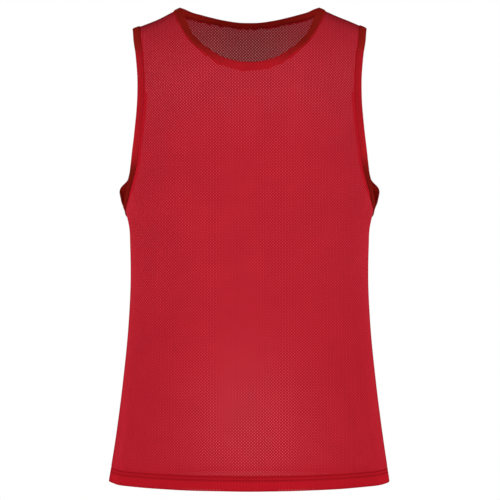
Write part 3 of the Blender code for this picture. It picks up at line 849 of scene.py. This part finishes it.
# Half a panel as grids: below the arm, chest, shoulder, the edges under the tapes, the hem's turn-up and
# the allowances of the shoulder and side seams.
def halfPanel(back, side):
    grid = panelGrid
    middle = math.pi if back else 0.0
    neckSeam, neckAway, _ = boundEdges[back, True, side]
    armSeam, armAway, _ = boundEdges[back, False, side]
    neckSeam, armSeam = offSeams(neckSeam, back, side), offSeams(armSeam, back, side)
    hem = hemReach - grid["wall"] / 2 - grid["foldRadius"]
    neckSeam[0] = boundEdges[back, True, 1][0][0]
    bend = armSeam[grid["underArm"]]
    middleReach = boundEdges[back, False, 1][0][grid["underArm"], 1]  # the same for both halves
    armSide, armTop = armSeam[grid["underArm"] : -grid["upShoulder"]], armSeam[-1 - grid["upShoulder"] :]
    neckSide = neckSeam[grid["acrossNeck"] :]

    across = evenly(grid["acrossNeck"] + grid["acrossShoulder"])
    chestLine = straight((middle, middleReach), bend, across)
    hemLine = straight((middle, hem), (rightAngle, hem), evenly(len(across) - 1 + grid["underArm"]))
    hemLine = offSeams(hemLine, back, side)
    hemRows = np.concatenate([np.linspace(*rows) for rows in grid["hemRows"]])
    hemShares = hemRows / (hem - middleReach)
    aboveHem = hemShares[-1] + (1 - hemShares[-1]) * evenly(grid["belowArm"])[1:]
    upward = np.concatenate([hemShares, aboveHem])
    underArm = np.vstack([chestLine, armSeam[: grid["underArm"]][::-1]])
    below = hemLine + upward[:, None, None] * (underArm - hemLine)

    shoulderFoot = straight(neckSide[0], armTop[0], evenly(grid["acrossShoulder"]))
    upChest = besideArm()[: len(armSide)]
    left = straight(chestLine[0], neckSeam[0], upChest / upChest[-1])
    chest = patch(chestLine, np.vstack([neckSeam[: grid["acrossNeck"]], shoulderFoot]), left, armSide)
    ridgeLine = straight(neckSeam[-1], armSeam[-1], evenly(grid["acrossShoulder"]))
    shoulder = patch(shoulderFoot, ridgeLine, neckSide, armTop)

    grids = [onPanel(place, back, side) for place in (below, chest, shoulder)]
    width = tapeSize["width"] - grid["rawEdge"]
    for seam, away in ((neckSeam, neckAway), (armSeam, armAway)):
        strip = np.repeat(onPanel(seam, back, side)[None], 3, axis=0)
        strip[..., :3] += evenly(2)[:, None, None] * width * away
        strip[..., bareColumn] = allDoubled
        grids.append(strip)
    hemTop = hemLine - (0.0, grid["hemDepth"])
    grids.append(turnedEdge(hemLine, hemTop, back, side))

    allowance = grid["allowance"]
    ridgeInner = ridgeLine + (0.0, allowance)
    grids.append(turnedEdge(ridgeLine, ridgeInner, back, side))
    sideLine = below[:, -1]
    around, _ = slopesAt(sideLine, side)
    sideInner = sideLine.copy()
    sideInner[:, 0] += (1 if back else -1) * allowance / np.linalg.norm(around, axis=1)
    inHem = len(hemRows)  # the turn-up covers the allowance there
    grids.append(turnedEdge(sideLine[: inHem + 1], sideInner[: inHem + 1], back, side, ()))
    grids.append(turnedEdge(sideLine[inHem:], sideInner[inHem:], back, side))
    for result in grids:
        result[..., [0, 3]] *= side
    return grids


# The area of grids in the flat cut: half the cross product of each cell's diagonals.
def flatArea(grids):
    total = 0.0
    for grid in grids:
        one, other = grid[1:, 1:, 3:5] - grid[:-1, :-1, 3:5], grid[1:, :-1, 3:5] - grid[:-1, 1:, 3:5]
        total += 0.5 * np.abs(one[..., 0] * other[..., 1] - one[..., 1] * other[..., 0]).sum()
    return float(total)


print("bib: panels")
knit = knitMaterial(knitFinish)
panelPieces = (("front_panel", False), ("back_panel", True))
panels = {}
for name, back in panelPieces:
    grids = halfPanel(back, 1) + halfPanel(back, -1)
    piece = meshFromGrids(name + "_cloth", grids, panelValues, knit, panelGrid["wall"])
    u, v = (np.ptp(np.concatenate([grid[..., column].ravel() for grid in grids])) for column in (3, 4))
    panels[name] = (piece, (float(u), float(v) + panelGrid["hemDepth"]), flatArea(grids))
    print("  ", name, panels[name][1:], len(piece.data.polygons))


# The tape's profile from its sewn edge to the middle of its fold, as distance from the seam line and
# height off the cloth: a rise, a slight crown and a quarter circle.
def tapeProfile():
    offset, start = tapeSize["offset"], tapeSize["belowTape"]
    end = start + tapeSize["width"] - offset - tapeSize["wall"] / 2
    share = evenly(tapeSize["cellsAcross"])
    along = start + (end - start) * share
    rise = offset + tapeSize["crown"] * np.sin(math.pi * share)
    turn = np.linspace(rightAngle, 0.0, tapeSize["cellsRoundFold"] + 1)[1:]
    dip, low = tapeSize["sewnEdge"]
    distance = np.concatenate([[start - dip], along, end + offset * np.cos(turn)])
    height = np.concatenate([[offset * low], rise, offset * np.sin(turn)])
    return distance, height


# Where two halves of a tape meet, both take the mean of each point and direction.
def meet(one, two, index, mirror):
    for first, second in zip(one, two):
        mean = (first[index] + second[index] * mirror) / 2
        first[index], second[index] = mean, mean * mirror


tapeLines = {
    key: [cloth(seam, key[2]), away.copy(), normal.copy()]
    for key, (seam, away, normal) in boundEdges.items()
}
same, mirrored = np.ones(3), np.array([-1.0, 1.0, 1.0])
for side in (1, -1):
    meet(tapeLines[False, True, side], tapeLines[True, True, side], -1, same)
    meet(tapeLines[False, False, side], tapeLines[True, False, side], -1, same)
    meet(tapeLines[False, False, side], tapeLines[True, False, side], 0, same)
for back in (False, True):
    meet(tapeLines[back, True, 1], tapeLines[back, True, -1], 0, mirrored)


# painted shade on the tape: how far its colour turns to the dark brownish red, and what share darker it is
# painted, below zero lighter
tapeTones = {
    "backNeck": (0.8, 0.25),
    "insideNeck": (1.0, -0.25),
    "insideArm": (1.0, -0.1),
    "frontNeck": (0.08, 0.48),  # its painted shade tint grows between these shares of the way to the shoulder
    "overShoulder": (0.050, 0.078),  # an armhole's tape has the full painted shade tint down to here
    "underArm": (0.212, 0.250),  # and again from here
    "underArmLoss": (0.36, 0.20),  # painted shade under the arm, front and back
    "underArmGain": 1.0,  # painted light under the arm, inside
    "crest": (0.72, 0.95),  # of the profile, where the outer face's tone takes over
}


# Painted shade on the tape: a dark brownish red tint inside, over the shoulder and under the arm, painted
# darker outside under the arm and at the back neck, lighter inside: soft steps of the drop or of the way to
# the shoulder.
def tapeTone(points, back, neck, face):
    tones, none = tapeTones, np.zeros(len(points))
    if neck and face > 0 and not back:
        return softStep(*tones["frontNeck"], evenly(len(points) - 1)), none
    if neck:
        deep, dim = tones["backNeck" if face > 0 else "insideNeck"]
        return none + deep, none + dim
    underArm = softStep(*tones["underArm"], -points[:, 2])
    if face < 0:
        deep, dim = tones["insideArm"]
        return none + deep, dim - tones["underArmGain"] * underArm
    deep = np.maximum(1 - softStep(*tones["overShoulder"], -points[:, 2]), underArm)
    return deep, tones["underArmLoss"][back] * underArm


# Half of a tape along half an opening: its profile carried along the seam line, over the panel where
# face is 1 and behind it where it is -1.
def tapeLeaf(back, neck, side, face):
    atSeam, away, normal = tapeLines[back, neck, side]
    distance, height = tapeProfile()
    points = atSeam + distance[:, None, None] * away + face * height[:, None, None] * normal
    profileLength = lengthAlong(np.stack([distance, height], axis=-1))
    grid = np.zeros((*points.shape[:2], bareColumn + len(tapeValues)))
    grid[..., :3] = points
    grid[..., 0] *= side
    grid[..., 3] = lengthAlong(atSeam)
    grid[..., 4] = face * (profileLength - profileLength[-1])[:, None]
    crest = softStep(*tapeTones["crest"], profileLength / profileLength[-1])[:, None]
    tones = zip(tapeTone(atSeam, back, neck, face), tapeTone(atSeam, back, neck, 1))
    for column, (own, outer) in enumerate(tones, bareColumn):
        grid[..., column] = own + crest * (outer - own)
    return grid


print("bib: tapes")
tapeKnit = tapeMaterial(tapeFinish)
tapes = {}
tapePieces = (
    ("neck_binding", True, (1, -1)),
    ("armhole_binding_left", False, (1,)),
    ("armhole_binding_right", False, (-1,)),
)
for name, neck, sides in tapePieces:
    grids = [tapeLeaf(back, neck, s, face) for s in sides for face in (1, -1) for back in (False, True)]
    piece = meshFromGrids(name + "_tape", grids, tapeValues, tapeKnit, tapeSize["wall"])
    tapeLength = sum(float(grid[0, :, 3].max()) for grid in grids) / 2
    profileLength = float(np.ptp(grids[0][:, 0, 4]))
    tapes[name] = (piece, (2 * profileLength, tapeLength))
    print("  ", name, tapes[name][1], len(piece.data.polygons))

stitchShape = {
    "rings": 7,
    "sides": 6,
    "tip": 0.02,  # least height of the wave, so that tips have some width
    "arch": 1.6,  # rise of the middle over the ends, in radii
    "sink": 0.8,  # depth of the ends, in radii
}


# Many small stitches as one mesh, from parts of centres, directions and normals. Each is a spindle:
# rings whose radius follows the root of a half wave, bent so that both ends dive into the cloth.
def stitches(name, parts):
    centre, along, normal = (np.concatenate(part)[:, None] for part in zip(*parts))
    count, sides, radius = stitchShape["rings"], stitchShape["sides"], hemStitching["threadRadius"]
    t = evenly(count - 1)
    turn = np.linspace(0.0, 2 * math.pi, sides, endpoint=False)
    bow = np.sin(math.pi * t)
    thick = radius * np.sqrt(np.maximum(bow, stitchShape["tip"]))
    x = np.repeat((t - 0.5) * hemStitching["stitchLength"], sides)
    y = (thick[:, None] * np.cos(turn)).ravel()
    bend = np.repeat(radius * (stitchShape["arch"] * bow - stitchShape["sink"]), sides)
    z = (thick[:, None] * np.sin(turn)).ravel() + bend
    across = unit(np.cross(normal, along))
    points = centre + x[:, None] * along + y[:, None] * across + z[:, None] * normal
    corner = np.arange(count - 1)[:, None] * sides + np.arange(sides)
    after = np.arange(count - 1)[:, None] * sides + (np.arange(sides) + 1) % sides
    walls = np.stack([corner, corner + sides, after + sides, after], axis=-1).reshape(-1, 4)
    start = np.arange(len(centre))[:, None, None] * count * sides
    faces = (walls + start).reshape(-1, 4).tolist()
    caps = np.stack([np.arange(sides)[::-1], (count - 1) * sides + np.arange(sides)])
    faces += (caps + start).reshape(-1, sides).tolist()
    return newPiece(name, points.reshape(-1, 3).tolist(), faces, thread)


# Rows of values at even steps of a line's length, between margins in pitches at its two ends.
def evenSteps(line, margins, rows):
    pitch, length = hemStitching["pitch"], lengthAlong(line)
    at = np.arange(pitch * margins[0], length[-1] - pitch * margins[1], pitch)
    return [atLengths(at, length, row) for row in rows]


# The two rows along a panel's hem: its level lines, just off the cloth.
def hemStitches(name, back):
    middle, lift = math.pi if back else 0.0, panelGrid["wall"] / 2 + hemStitching["clear"]
    parts = []
    for row in hemStitching["rows"]:
        level = hemReach - row
        fine = straight((middle, level), (rightAngle, level), evenly(accuracy["hemPlaces"]))
        for side in (1, -1):
            mirrored = np.array([side, 1.0, 1.0])
            place = evenSteps(cloth(fine, side), hemStitching["ends"], (fine,))[0]
            around, _ = slopesAt(place, side)
            normal = outward(place, side) * mirrored
            parts.append([cloth(place, side) * mirrored + normal * lift, unit(around) * mirrored, normal])
    return stitches(name + "_hem_stitches", parts)


# The row along both faces of a tape: its seam line, moved in along the tape and off the cloth.
def tapeStitches(name, neck, sides):
    inset = tapeSize["belowTape"] + tapeSize["stitchLine"]
    lift = tapeSize["offset"] + tapeSize["crown"] * 0.5 + tapeSize["wall"] / 2
    parts = []
    for side in sides:
        mirrored = np.array([side, 1.0, 1.0])
        for face in (1, -1):
            for back in (False, True):
                atSeam, away, normal = tapeLines[back, neck, side]
                line = (atSeam + inset * away + face * lift * normal) * mirrored
                rows = (line, unit(np.gradient(line, axis=0)), face * normal * mirrored)
                centre, along, off = evenSteps(line, tapeSize["stitchEnds"], rows)
                parts.append([centre, unit(along), unit(off)])
    return stitches(name + "_stitches", parts)


print("bib: stitches")
thread = threadMaterial(threadFinish)
stitchPieces = {name: hemStitches(name, back) for name, back in panelPieces}
for name, neck, sides in tapePieces:
    stitchPieces[name] = tapeStitches(name, neck, sides)

# each piece and its stitches hang from the root, and the model's part of that name is hidden
for name, (piece, flat, area) in panels.items():
    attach(piece, "root")
    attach(stitchPieces[name], "root")
    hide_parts(name)
for name, (piece, flat) in tapes.items():
    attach(piece, "root")
    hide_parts(name)
    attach(stitchPieces[name], "root")

studio = {
    "floorDepth": -0.95,
    "floorRadius": 1.6,
    "floorSides": 96,
    "floorFade": (0.5, 1.55),  # distances from the middle
    "paper": "#f4f3f2",
    "boxSize": (1.7, 2.2),
    "boxDistance": 2.7,
    "boxAngle": math.radians(49),  # from straight in front, or straight behind
    "boxHeight": -0.10,
    "frontPower": 44.6,
    "rearPower": 31.0,
    "skyAbove": 0.14,
    "skyBelow": 0.50,
}
photoView = {"distance": 2.97, "height": -0.3539, "across": 0.0007, "lens": 146.45, "sensor": 36.0}

print("bib: studio")
world = bpy.data.worlds.new("softStudio")
scene.world = world
world.use_nodes = True
tree = world.node_tree
tree.nodes.clear()
node = partial(addNode, tree)
direction = node("TexCoord", {}, (), "Generated")
upward = node("SeparateXYZ", {}, (direction,), "Z")
sky = node("MapRange", {}, (upward, -1.0, 1.0, studio["skyBelow"], studio["skyAbove"]))
soft = node("Background", {}, {"Color": (1, 1, 1, 1), "Strength": sky})
seen = node("Background", {}, {"Color": (1, 1, 1, 1), "Strength": 1.0})
eye = node("LightPath", {}, (), "Is Camera Ray")
mixed = node("MixShader", {}, (eye, soft, seen))
setInputs(tree.nodes.new("ShaderNodeOutputWorld"), {"Surface": mixed})

for name, forward, power in (("front", -1, studio["frontPower"]), ("rear", 1, studio["rearPower"])):
    for sign in (1, -1):
        lamp = bpy.data.lights.new(f"{name}Box{sign}", "AREA")
        lamp.shape = "RECTANGLE"
        lamp.size, lamp.size_y = studio["boxSize"]
        lamp.energy = power
        box = newObject(lamp.name, lamp)
        angle = sign * studio["boxAngle"]
        x, y = studio["boxDistance"] * math.sin(angle), forward * studio["boxDistance"] * math.cos(angle)
        box.location = (x, y, studio["boxHeight"])
        # the lamp shines along its own -Z, towards the body's axis
        box.rotation_euler = (rightAngle, 0.0, math.atan2(y, x) + rightAngle)

# The floor is a pale disc that fades out before its edge, so the backdrop stays plain.
paper, shader, node = newMaterial("palePaper", {"Base Color": linear(studio["paper"]), "Roughness": 0.9})
where = node("TexCoord", {}, (), "Object")
level = node("VectorMath", multiply, (where, (1.0, 1.0, 0.0)))
fromMiddle = node("VectorMath", {"operation": "LENGTH"}, (level,), "Value")
fading = node("MapRange", smooth, (fromMiddle, *studio["floorFade"], 1.0, 0.0))
setInputs(shader, {"Alpha": fading})
turn = np.linspace(0.0, 2 * math.pi, studio["floorSides"], endpoint=False)
disc = np.stack([np.cos(turn), np.sin(turn), 0.0 * turn], axis=-1) * studio["floorRadius"]
disc += (0, 0, studio["floorDepth"])
floor = newPiece("floor", disc.tolist(), [list(range(len(disc)))], paper)

camera = newObject("photoView", bpy.data.cameras.new("photoView"))
camera.data.sensor_width = photoView["sensor"]
camera.data.lens = photoView["lens"]
camera.location = (photoView["across"], -photoView["distance"], photoView["height"])
camera.rotation_euler = (rightAngle, 0.0, 0.0)
scene.camera = camera
scene.view_settings.view_transform = "Standard"
